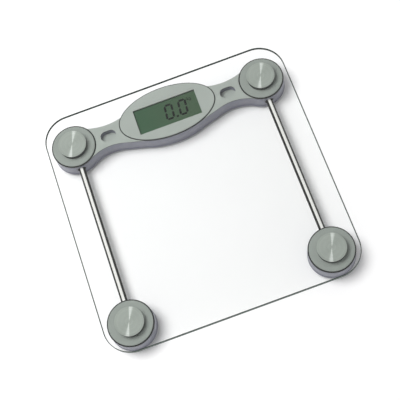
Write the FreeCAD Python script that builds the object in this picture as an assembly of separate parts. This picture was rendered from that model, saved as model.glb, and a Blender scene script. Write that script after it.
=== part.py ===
import FreeCAD, Part
import math
import os

# Glass bathroom scale: a square glass platform on four round feet, joined by two tubes.
# Millimetres.  Origin on the floor under the middle of the glass, +Z up, +Y to the display.

# Glass platform
glass_side = 300.0
glass_thickness = 6.0
glass_corner_radius = 32.0
glass_arris = 0.8                  # polished edge all round, top and bottom

# Foot places and the heights that every foot shares
foot_x = 119.2
foot_y = 114.3
base_bottom = 4.0                  # height of the underside of the base plates
base_thickness = 2.2
housing_top = 24.3                 # seat of the caps and of the display bezel
ceiling_thickness = 1.9
cap_height = 1.7
mount_height = 8.0                 # from the cap to the glass

# Foot housing
housing_radius = 27.0
wall = 2.3
base_overhang = 0.5                # the base plate stands out past the wall by this
arm_rise = 0.6                     # the arm's top stands this far above the cap seats
seat_clearance = 0.25

# Cap and gasket
cap_radius = 26.0
cap_plug_radius = 23.8
cap_flange = 0.8
cap_chamfer = 0.35
gasket_radius = 26.9
gasket_gap = 0.2

# Mount between the cap and the glass
mount_disc_radius = 16.7
mount_disc_thickness = 1.5
mount_spigot_radius = 8.0
mount_spigot_length = 4.5
collar_radius = 16.2
mount_screw_radius = 1.95
mount_screw_head_radius = 3.4
mount_screw_head = 2.0

# Load cell and its holder
cell_side = 28.0
cell_thickness = 2.0
cell_bottom = 9.6
cell_slot = 2.0
cell_tongue = 13.0
cell_frame = 4.5
cell_corner = 2.0
gauge_size = 5.0
gauge_thickness = 0.3
holder_radius = 20.2
holder_half_width = 17.0
holder_thickness = 1.8
holder_pocket = 1.3
holder_screw_place = 17.2
holder_boss_radius = 2.4
clip_offset = 8.0
clip_width = 4.0
clip_thickness = 1.4
clip_hook = 0.9
lead_notch = 3.0

# Foot cup and pad
foot_radius = 19.0
foot_flange_radius = 20.2
foot_flange_thickness = 1.0
foot_clearance = 0.4
foot_lift_gap = 0.3
foot_button_radius = 5.0
foot_rim = 1.4                     # height of the cup's rim above the floor
pad_radius = 17.4
pad_height = 2.4
pad_chamfer = 0.5

# Small screws
screw_radius = 0.95
screw_head_radius = 2.0
screw_head = 1.3
screw_length = 7.5
screw_clearance = 0.05
screw_hole = 1.15
base_boss_place = 22.7
base_boss_radius = 2.3
cross_width = 0.7
cross_depth = 0.6

# Tubes and the bushes that hold them
tube_radius = 4.0
tube_wall = 0.8
tube_height = 15.5
tube_end = 18.6                    # distance of the tube's end from the foot's axis
bush_radius = 5.17
bush_clearance = 0.03
bush_end = 26.55

# Display panel
panel_y = 116.0
panel_half_length = 60.4
panel_half_width = 32.9
bezel_inset = 1.0
bezel_gasket_inset = 0.1
bezel_plug_inset = 4.2
bezel_opening_inset = 3.9
window_y = 114.8
window_length = 78.0
window_width = 33.0
window_recess = 2.0
window_thickness = 1.2
window_edge = 1.5                  # ledge of the bezel over the window's long ends
window_side = 1.0                  # ledge of the bezel over the window's sides
lcd_upper = 1.2
lcd_lower = 1.4
lcd_contact_ledge = 2.4
reflector_thickness = 0.8
part_gap = 0.1

# Circuit board
board_top = 17.0
board_thickness = 1.6
board_length = 84.0
board_width = 36.0
board_ear_length = 100.0
board_ear_width = 20.0
board_screw_x = 46.0
board_screw_y = 6.0
board_boss_radius = 2.4
strip_thickness = 2.0
strip_length = 76.0

# Arms from the display panel to the rear feet
arm_neck_back = 126.8
arm_neck_front = 99.4
arm_back_x = 74.0
arm_back_radius = 70.0
arm_back_outer_turn = 22.0
arm_back_inner_turn = 20.0
arm_front_x = 77.0
arm_front_turn = 16.0
arm_front_end_x = 37.0
arm_boss_places = ((92.0, 112.0), (61.5, 114.0))
arm_boss_radius = 2.6

# Finger recess in each arm
recess_x = 76.0
recess_y = 112.6
recess_length = 19.0
recess_width = 13.0
recess_depth = 8.5
recess_wall = 1.5

# Battery bay under the display
battery_x = -28.0
cell_radius = 10.0
cell_height = 3.2
coin_bottom = 5.7
cover_radius = 13.4
cover_thickness = 1.2
cover_inset = 0.1
cover_ring_radius = 12.2
cover_ring_wall = 1.0
cover_ring_height = 2.0
cover_lug = 1.1
cover_lug_height = 0.8
cover_lug_turn = 26.0
cover_turn = 40.0
cover_clearance = 0.3
cover_ledge = 0.7
contact_thickness = 0.4
contact_width = 4.0

# Unit button
button_x = 28.0
button_radius = 4.9
button_clearance = 0.3
button_inset = 0.3
button_flange_radius = 6.2
button_flange = 1.0
button_stem_radius = 2.2
switch_side = 6.0
switch_height = 3.4
plunger_radius = 1.75
plunger_clearance = 0.05
plunger_length = 2.4
plunger_out = 1.0

# Sensor leads
lead_radius = 1.1
lead_root = 12.3                   # distance of the lead's root from the cell's middle
header_x = 40.0
header_y = 12.0
header_size = (6.0, 4.0, 3.0)
arc_share = 0.45                   # share of a run that each bend of a lead takes

# Heights worked out from the dimensions above
base_top = base_bottom + base_thickness
ceiling_bottom = housing_top - ceiling_thickness
cap_top = housing_top + cap_height
cap_flange_bottom = cap_top - cap_flange
arm_top = housing_top + arm_rise
glass_bottom = cap_top + mount_height
glass_top = glass_bottom + glass_thickness
cell_top = cell_bottom + cell_thickness
holder_top = cell_top + holder_thickness
foot_flange_bottom = base_top + foot_lift_gap
foot_flange_top = foot_flange_bottom + foot_flange_thickness
foot_hole_radius = foot_radius + foot_clearance
board_bottom = board_top - board_thickness
window_top = cap_top - window_recess
window_bottom = window_top - window_thickness
lcd_ledge = window_bottom - lcd_upper
lcd_bottom = lcd_ledge - lcd_lower
plug_bottom = lcd_bottom - reflector_thickness
pocket_length = window_length + 2 * window_edge
pocket_width = window_width + 2 * window_side
plunger_bottom = board_bottom - switch_height - plunger_out
coin_top = coin_bottom + cell_height
eps = 0.1                          # depth by which joined volumes run into each other


def vec(x, y, z):
    return FreeCAD.Vector(x, y, z)


def disc(radius, low, high, x=0.0, y=0.0):
    return Part.makeCylinder(radius, high - low, vec(x, y, low))


def ring(outer, inner, low, high, x=0.0, y=0.0):
    return disc(outer, low, high, x, y).cut(disc(inner, low, high, x, y))


def block(length, width, low, high, x=0.0, y=0.0):
    return Part.makeBox(length, width, high - low, vec(x - length / 2, y - width / 2, low))


def box_between(x, y, low, high):
    """Box between two values each way."""
    return Part.makeBox(x[1] - x[0], y[1] - y[0], high - low, vec(x[0], y[0], low))


def extruded(face, low, high):
    moved = face.copy()
    moved.translate(vec(0, 0, low))
    return moved.extrude(vec(0, 0, high - low))


def oval_face(half_length, half_width, y=0.0):
    ellipse = Part.Ellipse(vec(0, y, 0), half_length, half_width)
    return Part.Face(Part.Wire([ellipse.toShape()]))


def oval(inset, low, high):
    """Prism on the display panel's outline, drawn in by inset."""
    face = oval_face(panel_half_length - inset, panel_half_width - inset, panel_y)
    return extruded(face, low, high)


def rounded_face(length, width, radius, x=0.0, y=0.0):
    """Rectangle with round corners."""
    a = length / 2 - radius
    b = width / 2 - radius
    edges = []
    corners = ((a, b, 0), (-a, b, 90), (-a, -b, 180), (a, -b, 270))
    ends = []
    for cx, cy, start in corners:
        points = []
        for turn in (start, start + 45, start + 90):
            angle = math.radians(turn)
            points.append(vec(x + cx + radius * math.cos(angle), y + cy + radius * math.sin(angle), 0))
        edges.append(Part.Arc(points[0], points[1], points[2]).toShape())
        ends.append((points[0], points[2]))
    for i in range(4):
        start = ends[i][1]
        end = ends[(i + 1) % 4][0]
        if start.distanceToPoint(end) > 1e-6:
            edges.insert(2 * i + 1, Part.LineSegment(start, end).toShape())
    return Part.Face(Part.Wire(Part.__sortEdges__(edges)))


def rounded_block(length, width, radius, low, high, x=0.0, y=0.0):
    return extruded(rounded_face(length, width, radius, x, y), low, high)


def edges_at(shape, height):
    """Edges that lie flat at one height."""
    found = []
    for edge in shape.Edges:
        box = edge.BoundBox
        if abs(box.ZMin - height) < 1e-4 and abs(box.ZMax - height) < 1e-4:
            found.append(edge)
    return found


def joined(first, *others):
    result = first
    for other in others:
        result = result.fuse(other)
    return result.removeSplitter()


def placed(shape, x, y):
    moved = shape.copy()
    moved.translate(vec(x, y, 0))
    return moved


def mirrored_x(shape):
    return shape.mirror(vec(0, 0, 0), vec(1, 0, 0))


def write(name, *solids):
    shape = solids[0] if len(solids) == 1 else Part.makeCompound(list(solids))
    os.makedirs("parts", exist_ok=True)
    shape.exportStep("parts/" + name + ".step")
    print(name, len(shape.Solids), round(shape.Volume, 1))


def polar(radius, turn, x=0.0, y=0.0):
    angle = math.radians(turn)
    return (x + radius * math.cos(angle), y + radius * math.sin(angle))


def screw(head_radius, head, radius, low, length, x, y):
    """Pan-head screw that points up, with its head's underside at low and a cross recess."""
    shape = joined(disc(head_radius, low, low + head, x, y), disc(radius, low, low + head + length, x, y))
    span = 2 * head_radius * 0.62
    for size in ((span, cross_width), (cross_width, span)):
        shape = shape.cut(block(size[0], size[1], low, low + cross_depth, x, y))
    return shape


def small_screw(seat, x, y):
    """Small screw whose head bears upwards on seat."""
    return screw(screw_head_radius, screw_head, screw_radius, seat - screw_head, screw_length, x, y)


def pilot(low, high, x, y):
    return disc(screw_radius + screw_clearance, low, high, x, y)


# Foot pieces, each made about the foot's own axis

def mount_disc():
    low = glass_bottom - mount_disc_thickness
    plate = disc(mount_disc_radius, low, glass_bottom)
    spigot = disc(mount_spigot_radius, low - mount_spigot_length, low + eps)
    thread = disc(mount_screw_radius + screw_clearance, low - mount_spigot_length, glass_bottom - 0.8)
    return joined(plate, spigot).cut(thread)


def mount_collar():
    high = glass_bottom - mount_disc_thickness
    shape = disc(collar_radius, cap_top, high)
    shape = shape.cut(disc(mount_spigot_radius + part_gap, high - mount_spigot_length, high))
    return shape.cut(disc(mount_screw_radius + 0.15, cap_top, high))


def mount_screw():
    length = glass_bottom - 1.2 - ceiling_bottom
    low = ceiling_bottom - mount_screw_head
    return screw(mount_screw_head_radius, mount_screw_head, mount_screw_radius, low, length, 0, 0)


def foot_cap():
    flange = disc(cap_radius, cap_flange_bottom, cap_top)
    flange = flange.makeChamfer(cap_chamfer, edges_at(flange, cap_top))
    plug = disc(cap_plug_radius, housing_top, cap_flange_bottom + eps)
    return joined(flange, plug).cut(disc(mount_screw_radius + 0.15, housing_top, cap_top))


def cap_gasket():
    return ring(gasket_radius, cap_plug_radius + gasket_gap, housing_top, cap_flange_bottom)


def load_cell():
    """Steel plate with a tongue cut free on three sides, and the gauge on the tongue's root."""
    shape = rounded_block(cell_side, cell_side, cell_corner, cell_bottom, cell_top)
    reach = cell_side / 2 - cell_frame
    half = cell_tongue / 2
    for side in (-1, 1):
        slot = block(cell_slot, 2 * reach, cell_bottom, cell_top, side * (half + cell_slot / 2))
        shape = shape.cut(slot)
    cross = block(cell_tongue + 2 * cell_slot, cell_slot, cell_bottom, cell_top, 0, reach - cell_slot / 2)
    shape = shape.cut(cross)
    gauge = block(gauge_size, gauge_size, cell_top - eps, cell_top + gauge_thickness, 0, -reach + gauge_size / 2)
    return joined(shape, gauge)


def load_cell_holder():
    plate = disc(holder_radius, cell_top, holder_top)
    plate = plate.common(block(3 * holder_radius, 2 * holder_half_width, cell_top, holder_top))
    reach = cell_side / 2 - cell_frame + 1.5
    shape = plate.cut(block(cell_tongue + 2 * cell_slot + 1.4, 2 * reach, cell_top, cell_top + holder_pocket))
    hook_top = cell_bottom - part_gap
    hook_low = hook_top - 0.6
    for side in (-1, 1):
        edge = side * (cell_side / 2 + 0.15)
        outer = edge + side * clip_thickness
        hook = edge - side * clip_hook
        for place in (-clip_offset, clip_offset):
            across = (place - clip_width / 2, place + clip_width / 2)
            leg = box_between(across, sorted((edge, outer)), hook_low, cell_top + eps)
            catch = box_between(across, sorted((hook, outer)), hook_low, hook_top)
            shape = shape.fuse(leg).fuse(catch)
        notch_end = side * (holder_half_width + 1)
        notch_start = side * (reach - 0.5)
        notch = box_between((-lead_notch, lead_notch), sorted((notch_start, notch_end)), cell_top, holder_top)
        shape = shape.cut(notch)
        shape = shape.cut(disc(screw_hole, cell_top, holder_top, side * holder_screw_place, 0))
    return shape.removeSplitter()


def foot_cup():
    """Cup that carries the rubber pad and presses its centre button on the load cell."""
    body = joined(disc(foot_radius, foot_rim, foot_flange_bottom + eps),
                  disc(foot_flange_radius, foot_flange_bottom, foot_flange_top))
    body = body.cut(disc(pad_radius + part_gap, foot_rim, pad_height))
    floor = pad_height + 1.6
    body = body.cut(ring(foot_radius - 1.8, foot_button_radius, floor, foot_flange_top))
    for turn in range(0, 360, 60):
        rib = box_between((foot_button_radius - 0.5, foot_radius - 1.3), (-0.6, 0.6), floor - eps, foot_flange_top - 0.6)
        rib.rotate(vec(0, 0, 0), vec(0, 0, 1), turn)
        body = body.fuse(rib)
    return joined(body, disc(foot_button_radius, floor - eps, cell_bottom))


def rubber_pad():
    shape = disc(pad_radius, 0, pad_height)
    shape = shape.makeChamfer(pad_chamfer, edges_at(shape, 0))
    for inner in (5.0, 9.0, 13.0):
        shape = shape.cut(ring(inner + 1.2, inner, 0, 0.6))
    return shape


def foot_inside(base_bosses):
    """Bosses under a foot's ceiling, and the pilot holes in them."""
    bosses = []
    holes = [disc(mount_screw_radius + 0.15, ceiling_bottom - eps, housing_top + 1)]
    for side in (-1, 1):
        x = side * holder_screw_place
        bosses.append(disc(holder_boss_radius, holder_top, ceiling_bottom + eps, x, 0))
        holes.append(pilot(holder_top, holder_top + screw_length, x, 0))
    for turn in base_bosses:
        x, y = polar(base_boss_place, turn)
        bosses.append(disc(base_boss_radius, base_top, ceiling_bottom + eps, x, y))
        holes.append(pilot(base_top, base_top + screw_length, x, y))
    return bosses, holes


def tube_hole(side):
    """Bore for a tube's bush, through the wall on one side of the foot."""
    start = side * (tube_end - 2)
    radius = bush_radius + bush_clearance
    return Part.makeCylinder(radius, 14, vec(0, start, tube_height), vec(0, side, 0))


front_base_bosses = (30, 150, 270)


def front_housing():
    shape = disc(housing_radius, base_top, housing_top)
    shape = shape.cut(disc(housing_radius - wall, base_top, ceiling_bottom))
    bosses, holes = foot_inside(front_base_bosses)
    shape = joined(shape, *bosses)
    for hole in holes:
        shape = shape.cut(hole)
    return shape.cut(tube_hole(1))


def base_screw_holes(places):
    """Through holes and head recesses for the screws of a base plate."""
    cuts = []
    for x, y in places:
        cuts.append(disc(screw_hole, base_bottom, base_top, x, y))
        cuts.append(disc(screw_head_radius + 0.2, base_bottom, base_screw_seat, x, y))
    return cuts


base_screw_seat = base_bottom + 1.5


def front_base():
    shape = disc(housing_radius + base_overhang, base_bottom, base_top)
    shape = shape.cut(disc(foot_hole_radius, base_bottom, base_top))
    for cut in base_screw_holes([polar(base_boss_place, turn) for turn in front_base_bosses]):
        shape = shape.cut(cut)
    return shape


# Rear housing: two feet, two arms and the display panel in one shell

rear_base_bosses = {-1: (90, 210), 1: (90, 330)}


def front_arm_radius():
    """Radius of the arm's front edge, which runs tangent into the foot's outline."""
    across = foot_x - arm_front_x
    rise = foot_y - arm_neck_front
    return (across ** 2 + rise ** 2 - housing_radius ** 2) / (2 * (housing_radius - rise))


def arm_face(inset):
    """Outline of the right arm, drawn in by inset, with its ends inside the foot and the panel."""
    back_centre = (arm_back_x, arm_neck_back + arm_back_radius)
    back_radius = arm_back_radius + inset
    back = []
    for turn in (arm_back_outer_turn, 0, -arm_back_inner_turn):
        back.append(vec(*polar(back_radius, turn - 90, *back_centre), 0))
    radius = front_arm_radius()
    front_centre = (arm_front_x, arm_neck_front - radius)
    across = foot_x - front_centre[0]
    rise = foot_y - front_centre[1]
    outer_turn = math.degrees(math.atan2(across, rise))
    front = []
    for turn in (-arm_front_turn, 0, outer_turn):
        front.append(vec(*polar(radius + inset, 90 - turn, *front_centre), 0))
    run = (front[0].x - arm_front_end_x) / math.cos(math.radians(arm_front_turn))
    tip_x = front[0].x - run * math.cos(math.radians(arm_front_turn))
    tip = vec(tip_x, front[0].y - run * math.sin(math.radians(arm_front_turn)), 0)
    inner = vec(arm_front_end_x, panel_y, 0)
    edges = [
        Part.Arc(back[0], back[1], back[2]).toShape(),
        Part.LineSegment(back[2], inner).toShape(),
        Part.LineSegment(inner, tip).toShape(),
        Part.LineSegment(tip, front[0]).toShape(),
        Part.Arc(front[0], front[1], front[2]).toShape(),
        Part.LineSegment(front[2], vec(foot_x, foot_y, 0)).toShape(),
        Part.LineSegment(vec(foot_x, foot_y, 0), back[0]).toShape(),
    ]
    return Part.Face(Part.Wire(edges))


def rear_outline(inset, low, high):
    """Prism on the rear housing's outline, drawn in by inset."""
    arm = extruded(arm_face(inset), low, high)
    pieces = [arm, mirrored_x(arm)]
    for side in (-1, 1):
        pieces.append(disc(housing_radius - inset, low, high, side * foot_x, foot_y))
    return joined(oval(inset, low, high), *pieces)


def recess_block(margin, low, high, side):
    length = recess_length + 2 * margin
    width = recess_width + 2 * margin
    return rounded_block(length, width, width / 2 - eps, low, high, side * recess_x, recess_y)


def rear_base_places():
    places = []
    for side in (-1, 1):
        for turn in rear_base_bosses[side]:
            places.append(polar(base_boss_place, turn, side * foot_x, foot_y))
        for x, y in arm_boss_places:
            places.append((side * x, y))
    return places


def rear_housing():
    shape = rear_outline(0, base_top, arm_top)
    shape = shape.cut(rear_outline(wall, base_top, ceiling_bottom))
    shape = shape.cut(oval(-seat_clearance, housing_top, arm_top))
    recess_low = arm_top - recess_depth
    holes = [oval(bezel_opening_inset, ceiling_bottom, housing_top)]
    bosses = []
    for side in (-1, 1):
        x = side * foot_x
        shape = shape.cut(disc(housing_radius + seat_clearance, housing_top, arm_top, x, foot_y))
        own_bosses, own_holes = foot_inside(rear_base_bosses[side])
        bosses += [placed(boss, x, foot_y) for boss in own_bosses]
        holes += [placed(hole, x, foot_y) for hole in own_holes]
        holes.append(placed(tube_hole(-1), x, foot_y))
        bosses.append(recess_block(recess_wall, recess_low - recess_wall, ceiling_bottom + eps, side))
        holes.append(recess_block(0, recess_low, arm_top, side))
        for arm_x, arm_y in arm_boss_places:
            bosses.append(disc(arm_boss_radius, base_top, ceiling_bottom + eps, side * arm_x, arm_y))
            holes.append(pilot(base_top, base_top + screw_length, side * arm_x, arm_y))
    shape = joined(shape, *bosses)
    for hole in holes:
        shape = shape.cut(hole)
    return shape


def rear_base():
    shape = rear_outline(-base_overhang, base_bottom, base_top)
    for side in (-1, 1):
        shape = shape.cut(disc(foot_hole_radius, base_bottom, base_top, side * foot_x, foot_y))
    for cut in base_screw_holes(rear_base_places()):
        shape = shape.cut(cut)
    ledge_low = base_top - cover_ledge
    shape = shape.cut(disc(cover_radius + cover_clearance, base_bottom, ledge_low, battery_x, window_y))
    shape = shape.cut(disc(cover_ring_radius + cover_clearance, base_bottom, base_top, battery_x, window_y))
    for turn in range(0, 360, 120):
        outer = cover_ring_radius + cover_lug + cover_clearance
        shape = shape.cut(sector(outer, turn + cover_turn, cover_lug_turn + 6, base_bottom, base_top))
    return shape.cut(disc(button_radius + button_clearance, base_bottom, base_top, button_x, window_y))


# Battery bay

def sector(radius, middle, span, low, high):
    """Sector of a disc about the battery's axis."""
    shape = Part.makeCylinder(radius, high - low, vec(0, 0, low), vec(0, 0, 1), span)
    shape.rotate(vec(0, 0, 0), vec(0, 0, 1), middle - span / 2)
    return placed(shape, battery_x, window_y)


def battery_cover():
    """Round cover that locks with three lugs and turns with a coin."""
    low = base_bottom + cover_inset
    plate_top = low + cover_thickness
    ring_top = plate_top + cover_ring_height
    plate = disc(cover_radius, low, plate_top, battery_x, window_y)
    shape = plate.fuse(disc(cover_ring_radius, plate_top - eps, ring_top, battery_x, window_y))
    for turn in range(0, 360, 120):
        lug = sector(cover_ring_radius + cover_lug, turn, cover_lug_turn, ring_top - cover_lug_height, ring_top)
        shape = shape.fuse(lug)
    inner = cover_ring_radius - cover_ring_wall
    shape = shape.cut(disc(inner, plate_top, ring_top, battery_x, window_y))
    return shape.removeSplitter().cut(block(16.0, 1.8, low, low + 0.6, battery_x, window_y))


def coin_cell():
    can = disc(cell_radius, coin_bottom, coin_top - 0.5, battery_x, window_y)
    return joined(can, disc(cell_radius - 1.0, coin_top - 0.6, coin_top, battery_x, window_y))


def battery_contacts():
    """Leaf on the coin cell's top and a strip on its rim, both soldered to the board."""
    leg_x = battery_x + 4.0
    leaf = box_between((battery_x - 2.0, leg_x + contact_thickness),
                       (window_y - contact_width / 2, window_y + contact_width / 2),
                       coin_top, coin_top + contact_thickness)
    leg = box_between((leg_x, leg_x + contact_thickness),
                      (window_y - contact_width / 2, window_y + contact_width / 2),
                      coin_top, board_bottom)
    rim_x = battery_x - cell_radius
    strip = box_between((rim_x - contact_thickness, rim_x),
                        (window_y - contact_width / 2, window_y + contact_width / 2),
                        coin_bottom + 0.6, board_bottom)
    return joined(leaf, leg), strip


# Unit button

def unit_button():
    low = base_bottom + button_inset
    flange_low = base_top + button_clearance
    cap = disc(button_radius, low, flange_low + eps, button_x, window_y)
    flange = disc(button_flange_radius, flange_low, flange_low + button_flange, button_x, window_y)
    stem = disc(button_stem_radius, flange_low, plunger_bottom, button_x, window_y)
    dish = disc(button_radius - 1.2, low, low + 0.4, button_x, window_y)
    return joined(cap, flange, stem).cut(dish)


def unit_switch():
    low = board_bottom - switch_height
    can = block(switch_side, switch_side, low, board_bottom, button_x, window_y)
    bore_top = plunger_bottom + plunger_length + 0.8
    return can.cut(disc(plunger_radius + plunger_clearance, low, bore_top, button_x, window_y))


def switch_plunger():
    return disc(plunger_radius, plunger_bottom, plunger_bottom + plunger_length, button_x, window_y)


# Display

def display_bezel():
    flange = oval(bezel_inset, cap_flange_bottom, cap_top)
    flange = flange.makeChamfer(cap_chamfer, edges_at(flange, cap_top))
    plug = oval(bezel_plug_inset, plug_bottom, cap_flange_bottom + eps)
    bosses = []
    for x, y in board_screw_places():
        bosses.append(disc(board_boss_radius, board_top, plug_bottom + eps, x, y))
    shape = joined(flange, plug, *bosses)
    shape = shape.cut(block(pocket_length, pocket_width, plug_bottom, window_top, 0, window_y))
    opening = block(window_length, window_width, window_top - eps, cap_top, 0, window_y)
    shape = shape.cut(opening)
    for x, y in board_screw_places():
        shape = shape.cut(pilot(board_top, board_top + 5.0, x, y))
    return shape


def bezel_gasket():
    outer = oval(bezel_gasket_inset, housing_top, cap_flange_bottom)
    return outer.cut(oval(bezel_plug_inset - gasket_gap, housing_top, cap_flange_bottom))


def lcd_window():
    length = pocket_length - 2 * part_gap
    width = pocket_width - 2 * part_gap
    return block(length, width, window_bottom, window_top, 0, window_y)


def lcd_panel():
    length = pocket_length - 2 * part_gap
    width = pocket_width - 2 * part_gap
    upper = block(length, width, lcd_ledge, window_bottom, 0, window_y)
    lower = block(length, width - 2 * lcd_contact_ledge, lcd_bottom, lcd_ledge + eps, 0, window_y)
    return joined(upper, lower)


def lcd_reflector():
    width = pocket_width - 2 * lcd_contact_ledge - 4 * part_gap
    return block(window_length, width, plug_bottom, lcd_bottom, 0, window_y)


def contact_strips():
    place = pocket_width / 2 - lcd_contact_ledge / 2 - part_gap
    thickness = min(strip_thickness, lcd_contact_ledge - 4 * part_gap)
    strips = []
    for side in (-1, 1):
        strips.append(block(strip_length, thickness, board_top, lcd_ledge, 0, window_y + side * place))
    return strips


def board_screw_places():
    places = []
    for side in (-1, 1):
        for end in (-1, 1):
            places.append((side * board_screw_x, window_y + end * board_screw_y))
    return places


def circuit_board():
    main = rounded_block(board_length, board_width, 2.0, board_bottom, board_top, 0, window_y)
    ears = rounded_block(board_ear_length, board_ear_width, 2.0, board_bottom, board_top, 0, window_y)
    shape = joined(main, ears)
    for x, y in board_screw_places():
        shape = shape.cut(disc(screw_hole, board_bottom, board_top, x, y))
    return shape


def lead_headers():
    length, width, height = header_size
    blocks = []
    for side in (-1, 1):
        for end in (-1, 1):
            x = side * header_x
            blocks.append(block(length, width, board_bottom - height, board_bottom, x, window_y + end * header_y))
    return blocks


def board_components():
    """Chip under its potting, crystal, capacitors and resistors on the board's underside."""
    pot = Part.makeCone(5.0, 6.0, 1.4, vec(0, window_y + 4.0, board_bottom - 1.4))
    crystal = Part.makeCylinder(1.5, 7.0, vec(8.5, window_y - 9.0, board_bottom - 1.5), vec(1, 0, 0))
    parts = [pot, crystal]
    for i in range(4):
        parts.append(block(2.0, 1.25, board_bottom - 0.6, board_bottom, -9.0 + 4.0 * i, window_y - 5.5))
    for i in range(3):
        parts.append(block(3.2, 1.6, board_bottom - 1.2, board_bottom, -8.0 + 5.0 * i, window_y - 12.0))
    return parts + lead_headers()


# Sensor leads, each a bundle of three fine wires

def lead(points):
    """Round lead along straight runs joined by tangent arcs."""
    edges = []
    start = points[0]
    for i in range(1, len(points) - 1):
        before = points[i] - points[i - 1]
        after = points[i + 1] - points[i]
        half_turn = before.getAngle(after) / 2
        cut = arc_share * min(before.Length, after.Length)
        radius = cut / math.tan(half_turn)
        inward = vec(0, 0, 0) + after
        inward = inward.normalize() - vec(*before).normalize()
        first = points[i] - vec(*before).normalize() * cut
        last = points[i] + vec(*after).normalize() * cut
        sagitta = radius / math.cos(half_turn) - radius
        middle = points[i] + inward.normalize() * sagitta
        edges.append(Part.LineSegment(start, first).toShape())
        edges.append(Part.Arc(first, middle, last).toShape())
        start = last
    edges.append(Part.LineSegment(start, points[-1]).toShape())
    path = Part.Wire(edges)
    profile = Part.Wire([Part.Circle(points[0], points[1] - points[0], lead_radius).toShape()])
    tube = path.makePipeShell([profile], True, False)
    print("lead", round(path.Length, 1), round(tube.Volume / (math.pi * lead_radius ** 2), 1))
    return tube


def lead_routes():
    """Route of the front foot's lead, through the tube, and of the rear foot's, on the right side."""
    under_recess = arm_top - recess_depth - recess_wall - 4.4
    over_holder = holder_top + 2.1
    end_x = header_x + header_size[0] / 2
    end_z = board_bottom - header_size[2] / 2
    front = [
        (foot_x, -foot_y + lead_root, cell_top),
        (foot_x, -foot_y + lead_root, tube_height),
        (foot_x, foot_y - lead_root - 3.0, tube_height),
        (foot_x - 17.0, foot_y - 9.0, over_holder),
        (recess_x + 10.0, recess_y - 7.0, under_recess),
        (recess_x - 11.0, recess_y - 5.0, under_recess),
        (end_x + 9.0, window_y - header_y, end_z),
        (end_x, window_y - header_y, end_z),
    ]
    rear = [
        (foot_x, foot_y + lead_root, cell_top),
        (foot_x, foot_y + lead_root, over_holder),
        (foot_x - 19.0, foot_y + lead_root - 3.0, over_holder),
        (recess_x + 10.0, recess_y + 6.5, under_recess),
        (recess_x - 11.0, recess_y + 7.0, under_recess),
        (end_x + 9.0, window_y + header_y, end_z),
        (end_x, window_y + header_y, end_z),
    ]
    return front, rear


def sensor_leads():
    solids = []
    for route in lead_routes():
        solid = lead([vec(*point) for point in route])
        solids += [solid, mirrored_x(solid)]
    return solids


def tube(side):
    length = 2 * (foot_y - tube_end)
    start = vec(side * foot_x, -foot_y + tube_end, tube_height)
    outer = Part.makeCylinder(tube_radius, length, start, vec(0, 1, 0))
    return outer.cut(Part.makeCylinder(tube_radius - tube_wall, length, start, vec(0, 1, 0)))


def tube_bushes():
    bushes = []
    for side in (-1, 1):
        for end in (-1, 1):
            start = vec(side * foot_x, end * (foot_y - tube_end), tube_height)
            along = vec(0, end, 0)
            outer = Part.makeCylinder(bush_radius, bush_end - tube_end, start, along * -1)
            bore = Part.makeCylinder(tube_radius + bush_clearance, bush_end - tube_end, start, along * -1)
            bushes.append(outer.cut(bore))
    return bushes


def glass_platform():
    shape = rounded_block(glass_side, glass_side, glass_corner_radius, glass_bottom, glass_top)
    edges = edges_at(shape, glass_top) + edges_at(shape, glass_bottom)
    return shape.makeChamfer(glass_arris, edges)


feet = {
    "rear_left": (-foot_x, foot_y),
    "rear_right": (foot_x, foot_y),
    "front_left": (-foot_x, -foot_y),
    "front_right": (foot_x, -foot_y),
}


def build_feet():
    pieces = {
        "mount_disc": mount_disc(),
        "mount_collar": mount_collar(),
        "foot_cap": foot_cap(),
        "load_cell": load_cell(),
        "load_cell_holder": load_cell_holder(),
        "foot_cup": foot_cup(),
        "rubber_pad": rubber_pad(),
    }
    for foot, place in feet.items():
        for piece, shape in pieces.items():
            write(piece + "_" + foot, placed(shape, *place))
    write("cap_gaskets", *[placed(cap_gasket(), *place) for place in feet.values()])
    write("mount_screws", *[placed(mount_screw(), *place) for place in feet.values()])


def build_screws():
    holder = []
    base = []
    for x, y in feet.values():
        for side in (-1, 1):
            holder.append(small_screw(cell_top, x + side * holder_screw_place, y))
    for side in (-1, 1):
        for turn in front_base_bosses:
            base.append(small_screw(base_screw_seat, *polar(base_boss_place, turn, side * foot_x, -foot_y)))
    for x, y in rear_base_places():
        base.append(small_screw(base_screw_seat, x, y))
    board = []
    for x, y in board_screw_places():
        board.append(screw(screw_head_radius, screw_head, screw_radius, board_bottom - screw_head, 5.5, x, y))
    write("holder_screws", *holder)
    write("base_screws", *base)
    write("board_screws", *board)


def build_housings():
    for side, name in ((-1, "left"), (1, "right")):
        write("front_" + name + "_housing", placed(front_housing(), side * foot_x, -foot_y))
        write("front_" + name + "_base", placed(front_base(), side * foot_x, -foot_y))
        write(name + "_tube", tube(side))
    write("rear_housing", rear_housing())
    write("rear_base", rear_base())
    write("tube_bushes", *tube_bushes())


def build_display():
    write("display_bezel", display_bezel())
    write("bezel_gasket", bezel_gasket())
    write("lcd_window", lcd_window())
    write("lcd_panel", lcd_panel())
    write("lcd_reflector", lcd_reflector())
    write("contact_strips", *contact_strips())
    write("circuit_board", circuit_board())
    write("board_components", *board_components())
    write("coin_cell", coin_cell())
    write("battery_contacts", *battery_contacts())
    write("battery_cover", battery_cover())
    write("unit_button", unit_button())
    write("unit_switch", unit_switch())
    write("switch_plunger", switch_plunger())
    write("sensor_leads", *sensor_leads())


write("glass_platform", glass_platform())
build_feet()
build_screws()
build_housings()
build_display()
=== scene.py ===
import bmesh
import bpy
import math
from mathutils import Matrix, Vector


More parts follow.
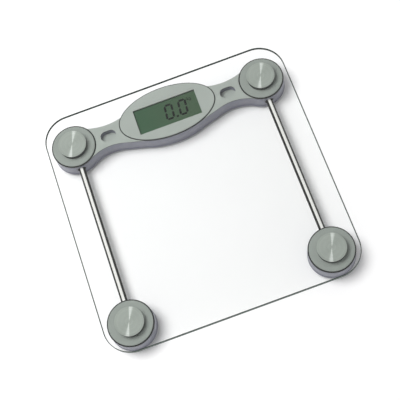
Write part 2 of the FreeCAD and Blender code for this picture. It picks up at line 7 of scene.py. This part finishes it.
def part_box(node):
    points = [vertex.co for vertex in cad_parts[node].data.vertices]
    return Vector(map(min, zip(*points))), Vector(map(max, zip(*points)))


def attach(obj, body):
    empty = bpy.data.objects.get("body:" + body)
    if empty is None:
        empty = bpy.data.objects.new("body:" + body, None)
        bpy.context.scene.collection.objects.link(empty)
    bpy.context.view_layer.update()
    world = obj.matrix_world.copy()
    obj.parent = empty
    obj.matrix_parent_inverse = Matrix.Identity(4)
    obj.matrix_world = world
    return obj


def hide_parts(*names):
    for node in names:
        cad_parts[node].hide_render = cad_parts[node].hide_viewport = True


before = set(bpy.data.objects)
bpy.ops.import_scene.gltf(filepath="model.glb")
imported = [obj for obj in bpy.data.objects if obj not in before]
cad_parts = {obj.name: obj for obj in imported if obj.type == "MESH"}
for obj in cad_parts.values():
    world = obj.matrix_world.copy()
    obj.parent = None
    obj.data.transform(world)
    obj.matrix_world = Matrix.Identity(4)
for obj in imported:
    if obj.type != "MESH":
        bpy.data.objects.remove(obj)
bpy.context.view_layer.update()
feet = ("rear_left", "rear_right", "front_left", "front_right")
print("frame loaded with", len(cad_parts), "nodes")


def middle(node):
    low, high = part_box(node)
    return (low + high) / 2


def linear(red, green, blue):
    # screen colour 0 to 255, as a shader wants it
    values = []
    for part in (red, green, blue):
        share = part / 255
        values.append(share / 12.92 if share < 0.04 else ((share + 0.055) / 1.055) ** 2.4)
    return (*values, 1.0)


footX = abs(middle("mount_disc_front_left").x)
footY = abs(middle("mount_disc_front_left").y)


class Nodes:
    # short way to add and link shader nodes

    def __init__(self, name):
        self.material = bpy.data.materials.new(name)
        self.material.use_nodes = True
        self.tree = self.material.node_tree
        self.shader = self.tree.nodes["Principled BSDF"]
        self.output = self.tree.nodes["Material Output"]

    def add(self, kind, inputs=None, **settings):
        node = self.tree.nodes.new(kind)
        for key, value in settings.items():
            setattr(node, key, value)
        for key, value in (inputs or {}).items():
            if isinstance(value, bpy.types.NodeSocket):
                self.tree.links.new(value, node.inputs[key])
            else:
                node.inputs[key].default_value = value
        return node

    def math(self, operation, first, second=None):
        inputs = {0: first}
        if second is not None:
            inputs[1] = second
        return self.add("ShaderNodeMath", inputs, operation=operation).outputs[0]

    def place(self):
        return self.add("ShaderNodeNewGeometry").outputs["Position"]

    def split(self, vector):
        return self.add("ShaderNodeSeparateXYZ", {0: vector}).outputs

    def noise(self, scale, detail=4.0, vector=None):
        inputs = {"Scale": scale, "Detail": detail, "Vector": vector or self.place()}
        return self.add("ShaderNodeTexNoise", inputs).outputs["Fac"]

    def ramp(self, value, stops):
        node = self.add("ShaderNodeValToRGB", {0: value})
        while len(node.color_ramp.elements) < len(stops):
            node.color_ramp.elements.new(0.5)
        for element, (position, colour) in zip(node.color_ramp.elements, stops):
            element.position = position
            element.color = colour
        return node.outputs["Color"]

    def mix(self, share, first, second):
        node = self.add("ShaderNodeMix", data_type="RGBA")
        for index, value in ((0, share), (6, first), (7, second)):
            if isinstance(value, bpy.types.NodeSocket):
                self.tree.links.new(value, node.inputs[index])
            else:
                node.inputs[index].default_value = value
        return node.outputs[2]

    def multiply(self, first, second):
        node = self.add("ShaderNodeMix", data_type="RGBA", blend_type="MULTIPLY")
        node.inputs[0].default_value = 1.0
        self.tree.links.new(first, node.inputs[6])
        self.tree.links.new(second, node.inputs[7])
        return node.outputs[2]

    def bump(self, height, strength, distance):
        inputs = {"Height": height, "Strength": strength, "Distance": distance}
        node = self.add("ShaderNodeBump", inputs)
        self.set("Normal", node.outputs[0])

    def set(self, socket, value):
        if isinstance(value, bpy.types.NodeSocket):
            self.tree.links.new(value, self.shader.inputs[socket])
        else:
            self.shader.inputs[socket].default_value = value


def shade(colour, factor):
    return (*[min(1.0, part * factor) for part in colour[:3]], 1.0)


def grained(name, settings):
    # base colour that varies a little, with fine grain in its roughness and bump
    nodes = Nodes(name)
    colour = linear(*settings["colour"])
    spread = settings.get("spread", 0.05)
    wide = nodes.noise(settings.get("patchScale", 45.0), 3.0)
    stops = ((0.3, shade(colour, 1 - spread)), (0.7, shade(colour, 1 + spread)))
    nodes.set("Base Color", nodes.ramp(wide, stops))
    fine = nodes.noise(settings.get("grainScale", 2500.0), 2.0)
    rough = settings["roughness"]
    swing = 0.06
    scaled = nodes.math("MULTIPLY_ADD", fine, 2 * swing)
    scaled.node.inputs[2].default_value = rough - swing
    nodes.set("Roughness", scaled)
    nodes.bump(fine, settings.get("bump", 0.15), settings.get("bumpDepth", 0.00004))
    nodes.set("Metallic", settings.get("metallic", 0.0))
    nodes.set("IOR", 1.45)
    nodes.set("Specular IOR Level", settings.get("specular", 0.4))
    nodes.set("Coat Weight", settings.get("coat", 0.0))
    nodes.set("Coat Roughness", settings.get("coatRoughness", 0.2))
    return nodes


silverPaint = {"colour": (149, 156, 150), "roughness": 0.5, "specular": 0.25, "grainScale": 5200.0,
               "spread": 0.035, "bump": 0.12, "bumpDepth": 0.00003}
silver = grained("silverPaint", silverPaint).material

panelPaint = {"colour": (166, 173, 167), "roughness": 0.5, "specular": 0.25, "grainScale": 5200.0,
              "spread": 0.03, "bump": 0.12, "bumpDepth": 0.00003}
panelSilver = grained("panelPaint", panelPaint).material

shellPlastic = {"colour": (128, 129, 143), "roughness": 0.38, "grainScale": 3600.0,
                "spread": 0.05, "bump": 0.2, "bumpDepth": 0.00004, "coat": 0.15, "coatRoughness": 0.25}
shell = grained("shellPlastic", shellPlastic).material

blackRubber = {"colour": (26, 28, 27), "roughness": 0.75, "grainScale": 2600.0, "spread": 0.15, "bump": 0.3}
rubber = grained("blackRubber", blackRubber).material

# the collars are dark plastic, and their dark colour also stands in for the shade in the hollow under each
# disc (painted shade)
darkPost = {"colour": (36, 42, 37), "roughness": 0.5, "grainScale": 3000.0, "spread": 0.12, "bump": 0.2}
post = grained("darkPost", darkPost).material

whitePlastic = {"colour": (214, 214, 208), "roughness": 0.5, "spread": 0.03}
white = grained("whitePlastic", whitePlastic).material

greyRubber = {"colour": (52, 52, 55), "roughness": 0.7, "spread": 0.1, "bump": 0.3}
softGrey = grained("greyRubber", greyRubber).material

cellSteel = {"colour": (150, 150, 154), "roughness": 0.32, "metallic": 1.0, "grainScale": 1400.0,
             "bump": 0.1}
steel = grained("cellSteel", cellSteel).material

screwZinc = {"colour": (168, 168, 172), "roughness": 0.28, "metallic": 1.0, "grainScale": 2000.0,
             "bump": 0.1}
zinc = grained("screwZinc", screwZinc).material

nickel = {"colour": (190, 184, 166), "roughness": 0.24, "metallic": 1.0, "grainScale": 2000.0, "bump": 0.08}
contactMetal = grained("nickel", nickel).material

coinSteel = {"colour": (186, 187, 188), "roughness": 0.2, "metallic": 1.0, "grainScale": 900.0, "bump": 0.06}
coin = grained("coinSteel", coinSteel).material

chipBlack = {"colour": (30, 30, 33), "roughness": 0.45, "spread": 0.1, "bump": 0.2}
chip = grained("chipBlack", chipBlack).material

leadRed = {"colour": (140, 38, 34), "roughness": 0.5, "spread": 0.08}
redLead = grained("leadRed", leadRed).material

solderMask = {"colour": (30, 92, 52), "roughness": 0.35, "spread": 0.12, "patchScale": 260.0, "coat": 0.4}
boardGreen = grained("solderMask", solderMask).material
print("plain finishes ready")


turnedSettings = {"colour": (178, 186, 178), "sheen": (232, 238, 232), "sheenAngle": 68.0,
                  "roughness": 0.4, "metallic": 0.25, "specular": 0.2, "anisotropy": 0.7, "grooves": 5200.0}


def turnedMetal():
    # grooves run round each foot's own axis, found by folding the plan into one quarter,
    # and the bright fan across each disc, a painted highlight, is painted by angle, with a slightly darker
    # band elsewhere round the disc as painted shade
    nodes = Nodes("turnedMetal")
    x, y = nodes.split(nodes.place())[:2]
    px = nodes.math("SUBTRACT", nodes.math("ABSOLUTE", x), footX)
    py = nodes.math("SUBTRACT", nodes.math("ABSOLUTE", y), footY)
    square = nodes.math("ADD", nodes.math("MULTIPLY", px, px), nodes.math("MULTIPLY", py, py))
    radius = nodes.math("SQRT", square)
    along = nodes.add("ShaderNodeCombineXYZ", {0: radius}).outputs[0]
    groove = nodes.noise(turnedSettings["grooves"], 2.0, along)
    wide = nodes.noise(420.0, 2.0, along)
    colour = linear(*turnedSettings["colour"])
    signX = nodes.math("SIGN", x)
    signY = nodes.math("SIGN", y)
    up = nodes.math("MULTIPLY", px, signX)
    back = nodes.math("MULTIPLY", py, signY)
    across = nodes.math("MULTIPLY", back, -1.0)
    turn = nodes.math("ARCTAN2", back, up)
    share = nodes.math("MULTIPLY_ADD", turn, 1 / math.pi)
    share.node.inputs[2].default_value = 2.5 - turnedSettings["sheenAngle"] / 180
    sheen = linear(*turnedSettings["sheen"])
    # painted highlight fan and a faint painted shade band, by angle round the disc
    fan = ((0.0, colour), (0.3, shade(colour, 0.93)), (0.42, colour), (0.475, sheen), (0.52, sheen),
           (0.545, colour), (1.0, colour))
    fanned = nodes.ramp(nodes.math("FRACT", share), fan)
    grain = nodes.ramp(wide, ((0.3, (0.86, 0.86, 0.86, 1.0)), (0.7, (1.0, 1.0, 1.0, 1.0))))
    nodes.set("Base Color", nodes.multiply(fanned, grain))
    nodes.set("Metallic", turnedSettings["metallic"])
    nodes.set("Specular IOR Level", turnedSettings["specular"])
    nodes.set("Roughness", turnedSettings["roughness"])
    nodes.set("Anisotropic", turnedSettings["anisotropy"])
    tangent = nodes.add("ShaderNodeCombineXYZ", {0: across, 1: up}).outputs[0]
    unit = nodes.add("ShaderNodeVectorMath", {0: tangent}, operation="NORMALIZE").outputs[0]
    nodes.set("Tangent", unit)
    nodes.bump(groove, 0.25, 0.00002)
    return nodes.material


turned = turnedMetal()


chromeSettings = {"bright": (236, 236, 232), "dark": (26, 28, 24), "roughness": 0.07,
                  "darkFrom": 0.05, "darkTo": 0.88}


def chromePlate():
    # painted reflection: bright along the top and dark down both sides, painted by how far the surface leans
    nodes = Nodes("chromePlate")
    normal = nodes.add("ShaderNodeNewGeometry").outputs["Normal"]
    z = nodes.split(normal)[2]
    bright = linear(*chromeSettings["bright"])
    dark = linear(*chromeSettings["dark"])
    start = chromeSettings["darkFrom"]
    end = chromeSettings["darkTo"]
    stops = ((0.0, shade(bright, 0.4)), (start, dark), (end, dark), (end + 0.06, bright), (1.0, bright))
    nodes.set("Base Color", nodes.ramp(z, stops))
    plated = nodes.ramp(z, ((0.0, (1, 1, 1, 1)), (end, (1, 1, 1, 1)), (end + 0.06, (0, 0, 0, 1))))
    nodes.set("Metallic", plated)
    smear = nodes.noise(900.0, 2.0)
    nodes.set("Roughness", chromeSettings["roughness"])
    nodes.bump(smear, 0.04, 0.00001)
    return nodes.material


chrome = chromePlate()


# colour and height of the painted shade band under the shells' tops
seamShadeSettings = {"seamShade": (44, 47, 49), "seamShadeFrom": 0.0009, "margin": 0.0001, "levelFrom": 0.6}


def shellWithSeamShade(name, painted):
    # moulded shell with painted shade in a dark band under its top, standing in for the shadow under the
    # top's overhang, and silver paint on its flat top if it has arms
    nodes = grained(name, shellPlastic)
    plain = nodes.shader.inputs["Base Color"].links[0].from_socket
    z = nodes.split(nodes.place())[2]
    up = nodes.split(nodes.add("ShaderNodeNewGeometry").outputs["Normal"])[2]
    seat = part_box("cap_gaskets")[0].z
    # dark band just under the top: painted shade of the top's overhang
    seamShade = linear(*seamShadeSettings["seamShade"])
    under = nodes.math("GREATER_THAN", z, seat - seamShadeSettings["seamShadeFrom"])
    below = nodes.math("LESS_THAN", z, seat + seamShadeSettings["margin"])
    shadeBand = nodes.math("MULTIPLY", under, below)
    colour = nodes.mix(shadeBand, plain, seamShade)
    if painted:
        wide = nodes.noise(45.0, 3.0)
        paint = linear(*panelPaint["colour"])
        silverTop = nodes.ramp(wide, ((0.3, shade(paint, 0.97)), (0.7, shade(paint, 1.03))))
        level = nodes.math("GREATER_THAN", up, seamShadeSettings["levelFrom"])
        high = nodes.math("GREATER_THAN", z, seat + seamShadeSettings["margin"])
        top = nodes.math("MAXIMUM", level, high)
        colour = nodes.mix(top, colour, silverTop)
    nodes.set("Base Color", colour)
    return nodes.material


rearShell = shellWithSeamShade("rearShell", True)
frontShell = shellWithSeamShade("frontShell", False)


glassSettings = {"ior": 1.5, "tint": (0.62, 0.88, 0.76, 1.0), "density": 4.0,
                 "mirror": 0.08, "side": (0.02, 0.06, 0.04, 1.0), "arris": (0.06, 0.075, 0.066, 1.0)}


def clearGlass():
    nodes = Nodes("clearGlass")
    normal = nodes.add("ShaderNodeNewGeometry").outputs["True Normal"]
    flat = nodes.math("ABSOLUTE", nodes.split(normal)[2])
    edges = ((0.0, glassSettings["side"]), (0.1, glassSettings["side"]), (0.2, glassSettings["arris"]),
             (0.9, glassSettings["arris"]), (0.97, (1.0, 1.0, 1.0, 1.0)))
    nodes.set("Base Color", nodes.ramp(flat, edges))
    clear = nodes.ramp(flat, ((0.9, (0, 0, 0, 1)), (0.97, (1, 1, 1, 1))))
    nodes.set("Transmission Weight", clear)
    nodes.set("Specular IOR Level", glassSettings["mirror"])
    nodes.set("IOR", glassSettings["ior"])
    smear = nodes.noise(18.0, 2.0)
    rough = nodes.math("MULTIPLY", smear, 0.004)
    nodes.set("Roughness", rough)
    inputs = {"Color": glassSettings["tint"], "Density": glassSettings["density"]}
    volume = nodes.add("ShaderNodeVolumeAbsorption", inputs)
    nodes.tree.links.new(volume.outputs[0], nodes.output.inputs["Volume"])
    return nodes.material


glass = clearGlass()


windowSettings = {"colour": (0.96, 0.98, 0.96, 1.0), "ior": 1.12, "roughness": 0.05}


def windowClear():
    nodes = Nodes("windowClear")
    nodes.set("Base Color", windowSettings["colour"])
    nodes.set("Transmission Weight", 1.0)
    nodes.set("IOR", windowSettings["ior"])
    nodes.set("Specular IOR Level", glassSettings["mirror"])
    nodes.set("Roughness", nodes.math("MULTIPLY", nodes.noise(60.0, 2.0), windowSettings["roughness"]))
    return nodes.material


windowGlass = windowClear()


lcdSettings = {"left": (70, 106, 78), "right": (80, 106, 80), "roughness": 0.32, "roughSwing": 0.1}


def lcdGreen():
    nodes = Nodes("lcdGreen")
    x = nodes.split(nodes.place())[0]
    low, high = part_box("lcd_panel")
    share = nodes.math("DIVIDE", nodes.math("SUBTRACT", x, low.x), high.x - low.x)
    stops = ((0.15, linear(*lcdSettings["left"])), (0.7, linear(*lcdSettings["right"])))
    base = nodes.ramp(share, stops)
    grain = nodes.noise(3000.0, 2.0)
    speck = nodes.ramp(grain, ((0.3, (0.93, 0.93, 0.93, 1.0)), (0.7, (1.0, 1.0, 1.0, 1.0))))
    nodes.set("Base Color", nodes.multiply(base, speck))
    rough = nodes.math("MULTIPLY_ADD", grain, lcdSettings["roughSwing"])
    rough.node.inputs[2].default_value = lcdSettings["roughness"]
    nodes.set("Roughness", rough)
    return nodes.material


lcd = lcdGreen()
inkSettings = {"colour": (9, 14, 10), "roughness": 0.8, "spread": 0.1, "specular": 0.0}
digitInk = grained("digitInk", inkSettings).material
print("special finishes ready")


def dress(node, material):
    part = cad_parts[node]
    part.data.materials.clear()
    part.data.materials.append(material)


finishes = {
    "glass_platform": glass, "rear_housing": rearShell, "front_left_housing": frontShell,
    "front_right_housing": frontShell, "rear_base": shell, "front_left_base": shell,
    "front_right_base": shell, "battery_cover": shell, "unit_button": shell,
    # the black gaskets under the caps darken the gap round each cap, standing in for its shade (painted
    # shade); the black lining inside the display window is partly a dark border and partly stands in for the
    # shade at its top edge
    "display_bezel": panelSilver, "bezel_gasket": rubber, "cap_gaskets": rubber,
    "mount_screws": zinc, "holder_screws": zinc, "base_screws": zinc, "board_screws": zinc,
    "left_tube": chrome, "right_tube": chrome, "tube_bushes": softGrey,
    "lcd_window": windowGlass, "lcd_panel": lcd, "lcd_reflector": white,
    "contact_strips": softGrey, "circuit_board": boardGreen, "board_components": chip,
    "coin_cell": coin, "battery_contacts": contactMetal, "unit_switch": chip,
    "switch_plunger": white, "sensor_leads": redLead,
}
for foot in feet:
    finishes["mount_disc_" + foot] = turned
    finishes["mount_collar_" + foot] = post
    finishes["foot_cap_" + foot] = silver
    finishes["load_cell_" + foot] = steel
    finishes["load_cell_holder_" + foot] = white
    finishes["foot_cup_" + foot] = shell
    finishes["rubber_pad_" + foot] = rubber
for node, material in finishes.items():
    dress(node, material)


edgeSettings = {"width": 0.00035, "segments": 2, "angle": 40.0}


def softenEdges(node):
    # moulded and pressed edges are never knife sharp
    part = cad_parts[node]
    weld = part.modifiers.new("weld", "WELD")
    weld.merge_threshold = 0.00001
    flatten = part.modifiers.new("flatten", "DECIMATE")
    flatten.decimate_type = "DISSOLVE"
    flatten.angle_limit = math.radians(1.0)
    bevel = part.modifiers.new("edges", "BEVEL")
    bevel.width = edgeSettings["width"]
    bevel.segments = edgeSettings["segments"]
    bevel.limit_method = "ANGLE"
    bevel.angle_limit = math.radians(edgeSettings["angle"])
    bevel.harden_normals = True


for node in ("display_bezel", "rear_housing", "front_left_housing", "front_right_housing", "rear_base",
             "front_left_base", "front_right_base", "battery_cover"):
    softenEdges(node)
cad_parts["glass_platform"].visible_shadow = False
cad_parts["lcd_window"].visible_shadow = False
print("finishes given to", len(finishes), "nodes")


def newObject(name, mesh):
    piece = bpy.data.objects.new(name, mesh)
    bpy.context.scene.collection.objects.link(piece)
    return piece


def lathe(name, profile, centre, material, steps=128):
    # profile is a list of (radius, height), from the axis and back to it
    mesh = bpy.data.meshes.new(name)
    form = bmesh.new()
    rings = []
    for radius, height in profile:
        if radius < 1e-7:
            rings.append([form.verts.new((centre.x, centre.y, height))])
            continue
        loop = []
        for step in range(steps):
            angle = 2 * math.pi * step / steps
            place = (centre.x + radius * math.cos(angle), centre.y + radius * math.sin(angle), height)
            loop.append(form.verts.new(place))
        rings.append(loop)
    for lower, upper in zip(rings, rings[1:]):
        for step in range(steps):
            after = (step + 1) % steps
            corners = [lower[step % len(lower)], lower[after % len(lower)],
                       upper[after % len(upper)], upper[step % len(upper)]]
            unique = list(dict.fromkeys(corners))
            if len(unique) > 2:
                form.faces.new(unique)
    bmesh.ops.recalc_face_normals(form, faces=form.faces)
    form.to_mesh(mesh)
    form.free()
    mesh.materials.append(material)
    for polygon in mesh.polygons:
        polygon.use_smooth = True
    mesh.set_sharp_from_angle(angle=math.radians(32))
    return newObject(name, mesh)


def rounded(outer, high, radius, steps=5):
    # profile of a disc's top edge, rounded
    points = []
    for step in range(steps + 1):
        angle = math.pi / 2 * step / steps
        height = high - radius + radius * math.sin(angle)
        points.append((outer - radius + radius * math.cos(angle), height))
    return points


capSettings = {"edge": 0.00045, "inset": 0.0004, "bore": 0.0021, "plug": 0.0238, "plugDepth": 0.0009}


def footCap(foot):
    node = "foot_cap_" + foot
    low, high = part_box(node)
    outer = (high.x - low.x) / 2 - capSettings["inset"]
    step = low.z + capSettings["plugDepth"]
    bore = capSettings["bore"]
    plug = capSettings["plug"]
    profile = [(bore, low.z), (plug, low.z), (plug, step), (outer, step)]
    profile += rounded(outer, high.z, capSettings["edge"])
    profile += [(bore, high.z), (bore, low.z)]
    piece = lathe("footCap." + foot, profile, (low + high) / 2, silver)
    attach(piece, "scale")
    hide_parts(node)


discSettings = {"edge": 0.0003, "dish": 0.00006, "thickness": 0.0015, "spigot": 0.008,
                "dishFrom": 0.012, "dimple": 0.0004, "dimpleDepth": 0.0001}


def mountDisc(foot):
    node = "mount_disc_" + foot
    low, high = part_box(node)
    outer = (high.x - low.x) / 2
    under = high.z - discSettings["thickness"]
    edge = discSettings["edge"]
    dish = discSettings["dish"]
    spigot = discSettings["spigot"]
    profile = [(0.0, low.z), (spigot, low.z), (spigot, under), (outer - edge, under), (outer, under + edge)]
    profile += rounded(outer, high.z, edge)
    profile += [(discSettings["dishFrom"], high.z - dish / 2), (discSettings["dimple"], high.z - dish),
                (0.0, high.z - discSettings["dimpleDepth"])]
    piece = lathe("mountDisc." + foot, profile, (low + high) / 2, turned)
    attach(piece, "scale")
    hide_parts(node)


for foot in feet:
    footCap(foot)
    mountDisc(foot)
print("caps and discs turned")


digitSettings = {"height": 0.0208, "width": 0.011, "stroke": 0.0026, "gap": 0.00035, "slant": 0.09,
                 "pitch": 0.01725, "right": 0.02425, "foot": -0.0097, "unitHeight": 0.0042,
                 "unitGap": 0.0014, "sunk": 0.00004, "thickness": 0.00006}


def segment(start, end, stroke, gap):
    # six-sided bar from start to end with pointed ends
    along = (Vector(end) - Vector(start)).normalized()
    across = Vector((-along.y, along.x))
    first = Vector(start) + along * gap
    last = Vector(end) - along * gap
    half = stroke / 2
    return [first, first + along * half + across * half, last - along * half + across * half, last,
            last - along * half - across * half, first + along * half - across * half]


def zero(left, low):
    # the six lit segments of a nought
    high = digitSettings["height"]
    wide = digitSettings["width"]
    half = digitSettings["stroke"] / 2
    x = (left + half, left + wide - half)
    y = (low + half, low + high / 2, low + high - half)
    bars = [((x[0], y[0]), (x[1], y[0])), ((x[0], y[2]), (x[1], y[2]))]
    for side in x:
        bars.append(((side, y[0]), (side, y[1])))
        bars.append(((side, y[1]), (side, y[2])))
    return [segment(start, end, digitSettings["stroke"], digitSettings["gap"]) for start, end in bars]


def digits():
    low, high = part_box("lcd_panel")
    under = high.z - digitSettings["sunk"]
    base = (low.y + high.y) / 2 + digitSettings["foot"]
    right = digitSettings["right"]
    form = bmesh.new()
    shapes = []
    for place in range(2):
        shapes += zero(right - digitSettings["width"] - place * digitSettings["pitch"], base)
    dot = digitSettings["stroke"] * 0.5
    dotX = right - digitSettings["pitch"] + (digitSettings["pitch"] - digitSettings["width"]) / 2
    dotTop = base + 2 * dot
    shapes.append([(dotX - dot, base), (dotX + dot, base), (dotX + dot, dotTop), (dotX - dot, dotTop)])
    markFoot = base + digitSettings["height"] - digitSettings["unitHeight"]
    shapes += unitMark(right + digitSettings["unitGap"], markFoot)
    slant = digitSettings["slant"]
    for shape in shapes:
        places = [(point[0] + slant * (point[1] - base), point[1]) for point in shape]
        form.faces.new([form.verts.new((x, y, under)) for x, y in places])
    faces = list(form.faces)
    raised = bmesh.ops.extrude_face_region(form, geom=faces)
    moved = [item for item in raised["geom"] if isinstance(item, bmesh.types.BMVert)]
    bmesh.ops.translate(form, vec=(0, 0, digitSettings["thickness"]), verts=moved)
    bmesh.ops.recalc_face_normals(form, faces=form.faces)
    mesh = bpy.data.meshes.new("lcdDigits")
    form.to_mesh(mesh)
    form.free()
    mesh.materials.append(digitInk)
    piece = newObject("lcdDigits", mesh)
    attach(piece, "scale")


markSettings = {"stroke": 0.0006, "lower": 0.62, "tail": 0.3, "arm": 0.0016, "leg": 0.0017,
                "kneeX": 0.0006, "kneeY": 0.6, "joint": 0.45, "pitch": 0.0028, "width": 0.0018}


def unitMark(left, low):
    # small generic kg, drawn in straight strokes
    tall = digitSettings["unitHeight"]
    thin = markSettings["stroke"]
    small = tall * markSettings["lower"]
    knee = (left + markSettings["kneeX"], low + small * markSettings["kneeY"])
    strokes = [((left, low), (left, low + tall)),
               ((left, low + small * markSettings["joint"]), (left + markSettings["arm"], low + small)),
               (knee, (left + markSettings["leg"], low))]
    start = left + markSettings["pitch"]
    end = start + markSettings["width"]
    tail = low - tall * markSettings["tail"]
    strokes += [((start, low), (end, low)), ((start, low + small), (end, low + small)),
                ((start, low), (start, low + small)), ((end, tail), (end, low + small)),
                ((start, tail), (end, tail))]
    shapes = []
    for first, last in strokes:
        along = (Vector(last) - Vector(first)).normalized() * thin / 2
        across = Vector((-along.y, along.x))
        first = Vector(first) - along
        last = Vector(last) + along
        shapes.append([first + across, last + across, last - across, first - across])
    return shapes


digits()
print("display drawn")


stageSettings = {"floor": (0.97, 0.97, 0.97, 1.0), "halfSide": 4.0, "drop": 0.00005}


def makeFloor():
    half = stageSettings["halfSide"]
    mesh = bpy.data.meshes.new("floor")
    corners = [(-half, -half, 0), (half, -half, 0), (half, half, 0), (-half, half, 0)]
    mesh.from_pydata(corners, [], [(0, 1, 2, 3)])
    nodes = Nodes("floorPaper")
    nodes.set("Base Color", stageSettings["floor"])
    nodes.set("Roughness", 0.9)
    nodes.set("Specular IOR Level", 0.1)
    mesh.materials.append(nodes.material)
    floor = newObject("floor", mesh)
    floor.location.z = -stageSettings["drop"]


lightSettings = {
    "ambient": 0.48,
    "key": {"place": (-0.44, 0.22, 1.25), "size": 0.85, "power": 15.5},
}


def areaLamp(name, settings, target=(0, 0, 0.02)):
    data = bpy.data.lights.new(name, "AREA")
    data.shape = "DISK"
    data.size = settings["size"]
    data.energy = settings["power"]
    lamp = bpy.data.objects.new(name, data)
    lamp.location = settings["place"]
    aim = Vector(target) - Vector(settings["place"])
    lamp.rotation_euler = aim.to_track_quat("-Z", "Y").to_euler()
    lamp.visible_glossy = False
    lamp.visible_transmission = False
    bpy.context.scene.collection.objects.link(lamp)


def makeWorld():
    world = bpy.data.worlds.new("studio")
    world.use_nodes = True
    bpy.context.scene.world = world
    tree = world.node_tree
    background = tree.nodes["Background"]
    background.inputs["Color"].default_value = (1.0, 1.0, 1.0, 1.0)
    path = tree.nodes.new("ShaderNodeLightPath")
    level = tree.nodes.new("ShaderNodeMapRange")
    level.inputs["To Min"].default_value = lightSettings["ambient"]
    level.inputs["To Max"].default_value = 1.0
    tree.links.new(path.outputs["Is Camera Ray"], level.inputs["Value"])
    tree.links.new(level.outputs[0], background.inputs["Strength"])


cameraSettings = {"place": (-0.003764, -0.397353, 1.056285), "target": (0.000394, -0.010077, 0.04),
                  "roll": -19.51, "lens": 85.964, "sensor": 36.0}


def makeCamera():
    data = bpy.data.cameras.new("camera")
    data.lens = cameraSettings["lens"]
    data.sensor_width = cameraSettings["sensor"]
    data.dof.use_dof = False
    camera = bpy.data.objects.new("camera", data)
    place = Vector(cameraSettings["place"])
    aim = (Vector(cameraSettings["target"]) - place).to_track_quat("-Z", "Y").to_matrix()
    turn = Matrix.Rotation(math.radians(cameraSettings["roll"]), 3, "Z")
    camera.matrix_world = Matrix.Translation(place) @ (aim @ turn).to_4x4()
    bpy.context.scene.collection.objects.link(camera)
    bpy.context.scene.camera = camera


makeFloor()
makeWorld()
areaLamp("keyLamp", lightSettings["key"])
makeCamera()
bpy.context.scene.view_settings.view_transform = "Standard"
print("stage, light and camera set")
